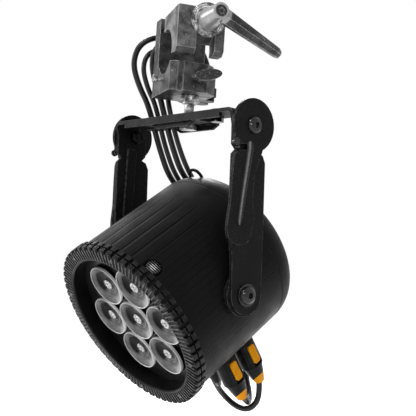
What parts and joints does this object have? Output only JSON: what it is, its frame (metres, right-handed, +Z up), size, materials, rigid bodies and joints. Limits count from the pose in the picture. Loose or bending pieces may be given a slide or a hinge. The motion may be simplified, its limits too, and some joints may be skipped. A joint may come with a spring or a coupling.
{
  "type": "par can light",
  "caption": "Black LED par can with round lenses behind a bezel, a yoke with folding legs, spigot, truss tube clamp and plugged-in leads.",
  "frame": {"origin": "on the axis of the truss tube that the clamp grips, straight above the pan axis", "axes": "+Z up, X along the head's tilt axis, the beam leaves towards -Y and down; the truss tube runs 70 degrees from +X towards +Y"},
  "size_m": [0.23, 0.2737, 0.4569],
  "materials": {
    "clamp_body": "black powder coat over cast alloy",
    "bright_steel": "zinc plated, worn",
    "dark_steel": "black oxide",
    "handle_metal": "grey hammered cast handle",
    "yoke_paint": "fine black powder coat",
    "head_paint": "black satin die-cast housing",
    "seal_rubber": "matt",
    "black_plastic": "moulded",
    "boot_rubber": "soft boot",
    "orange_plastic": "moulded, ribbed",
    "window": "gloss",
    "lens_clear": "polished",
    "lens_mask": "matt",
    "heatsink": "natural",
    "board": "circuit board",
    "emitter": "phosphor",
    "supply": "perforated box",
    "lead_jacket": "satin cable jacket"
  },
  "bodies": {
    "clamp": {"clamp_base": "clamp_body", "clamp_screw": "bright_steel", "clamp_strap": "black_plastic", "line_connectors": "black_plastic", "lead_power_rear_upper": "lead_jacket", "lead_power_front_upper": "lead_jacket", "lead_data_rear_upper": "lead_jacket", "lead_data_front_upper": "lead_jacket"},
    "jaw": {"clamp_jaw": "clamp_body", "clamp_washer": "bright_steel"},
    "handle": {"ratchet_handle": "handle_metal", "handle_screw": "dark_steel"},
    "wing": {"wing_screw": "dark_steel"},
    "pin": {"lock_pin": "bright_steel"},
    "yoke": {"spigot": "bright_steel", "yoke_bracket": "yoke_paint", "yoke_channel": "yoke_paint", "pivot_bolts": "dark_steel", "anchor_bolt": "dark_steel", "crossbar_tie": "black_plastic"},
    "left_leg": {"leg_left": "yoke_paint", "stop_pin_left": "dark_steel"},
    "right_leg": {"leg_right": "yoke_paint", "stop_pin_right": "dark_steel"},
    "head": {"front_bezel": "head_paint", "housing_screws": "bright_steel", "housing_seals": "seal_rubber", "main_housing": "head_paint", "vent_grille": "bright_steel", "rear_cover": "head_paint", "display_window": "window", "connector_panel": "head_paint", "panel_sockets": "black_plastic", "tilt_bosses": "yoke_paint", "tilt_bolts": "dark_steel", "safety_eye": "bright_steel", "lenses": "lens_clear", "lens_holders": "black_plastic", "lens_mask": "lens_mask", "led_emitters": "emitter", "led_board": "board", "heatsink": "heatsink", "power_supply": "supply", "circuit_boards": "board", "power_plug_rear": "black_plastic", "power_plug_front": "black_plastic", "power_boots": "boot_rubber", "boot_collars": "orange_plastic", "data_plugs": "black_plastic", "lead_power_rear_lower": "lead_jacket", "lead_power_front_lower": "lead_jacket", "lead_data_rear_lower": "lead_jacket", "lead_data_front_lower": "lead_jacket"},
    "rear_latch": {"power_latch_rear": "orange_plastic"},
    "front_latch": {"power_latch_front": "orange_plastic"},
    "button_1": {"menu_button_1": "black_plastic"},
    "button_2": {"menu_button_2": "black_plastic"},
    "button_3": {"menu_button_3": "black_plastic"},
    "button_4": {"menu_button_4": "black_plastic"}
  },
  "joints": [
    {"name": "yoke_pan", "type": "hinge", "parent": "clamp", "child": "yoke", "pos_m": [0, 0, 0], "axis": [0, 0, 1], "range_deg": [-60, 60], "deforming": ["lead_power_rear_upper", "lead_power_front_upper", "lead_data_rear_upper", "lead_data_front_upper"]},
    {"name": "head_tilt", "type": "hinge", "parent": "yoke", "child": "head", "pos_m": [0, 0.007, -0.2624], "axis": [1, 0, 0], "range_deg": [-45, 54.5], "deforming": ["lead_power_rear_lower", "lead_power_front_lower", "lead_data_rear_lower", "lead_data_front_lower"]},
    {"name": "left_leg_fold", "type": "hinge", "parent": "yoke", "child": "left_leg", "pos_m": [-0.1088, 0, -0.0873], "axis": [1, 0, 0], "range_deg": [-84, 0]},
    {"name": "right_leg_fold", "type": "hinge", "parent": "yoke", "child": "right_leg", "pos_m": [0.1088, 0, -0.0873], "axis": [1, 0, 0], "range_deg": [-84, 0]},
    {"name": "jaw_slide", "type": "slide", "parent": "clamp", "child": "jaw", "axis": [0.9397, -0.342, 0], "range_m": [0, 0.006]},
    {"name": "handle_turn", "type": "hinge", "parent": "jaw", "child": "handle", "pos_m": [0.05638, -0.02052, 0.031], "axis": [0.9397, -0.342, 0], "range_deg": [0, 1080]},
    {"name": "wing_screw_turn", "type": "hinge", "parent": "clamp", "child": "wing", "pos_m": [0.03759, -0.01368, -0.0315], "axis": [0.9397, -0.342, 0], "range_deg": [-360, 360]},
    {"name": "lock_pin_slide", "type": "slide", "parent": "clamp", "child": "pin", "axis": [-0.342, -0.9397, 0], "range_m": [0, 0.006], "stiffness_N_per_m": 300, "springref_m": -0.002},
    {"name": "rear_latch_slide", "type": "slide", "parent": "head", "child": "rear_latch", "axis": [0, 0.5803, -0.8144], "range_m": [0, 0.003], "stiffness_N_per_m": 300, "springref_m": -0.002},
    {"name": "front_latch_slide", "type": "slide", "parent": "head", "child": "front_latch", "axis": [0, 0.5803, -0.8144], "range_m": [0, 0.003], "stiffness_N_per_m": 300, "springref_m": -0.002},
    {"name": "menu_button_1_press", "type": "slide", "parent": "head", "child": "button_1", "axis": [0, -0.8144, -0.5803], "range_m": [0, 0.001], "stiffness_N_per_m": 400, "springref_m": -0.002},
    {"name": "menu_button_2_press", "type": "slide", "parent": "head", "child": "button_2", "axis": [0, -0.8144, -0.5803], "range_m": [0, 0.001], "stiffness_N_per_m": 400, "springref_m": -0.002},
    {"name": "menu_button_3_press", "type": "slide", "parent": "head", "child": "button_3", "axis": [0, -0.8144, -0.5803], "range_m": [0, 0.001], "stiffness_N_per_m": 400, "springref_m": -0.002},
    {"name": "menu_button_4_press", "type": "slide", "parent": "head", "child": "button_4", "axis": [0, -0.8144, -0.5803], "range_m": [0, 0.001], "stiffness_N_per_m": 400, "springref_m": -0.002}
  ],
  "couplings": [
    {"joint": "jaw_slide", "follows": "handle_turn", "m_per_rad": 0.00028648}
  ]
}
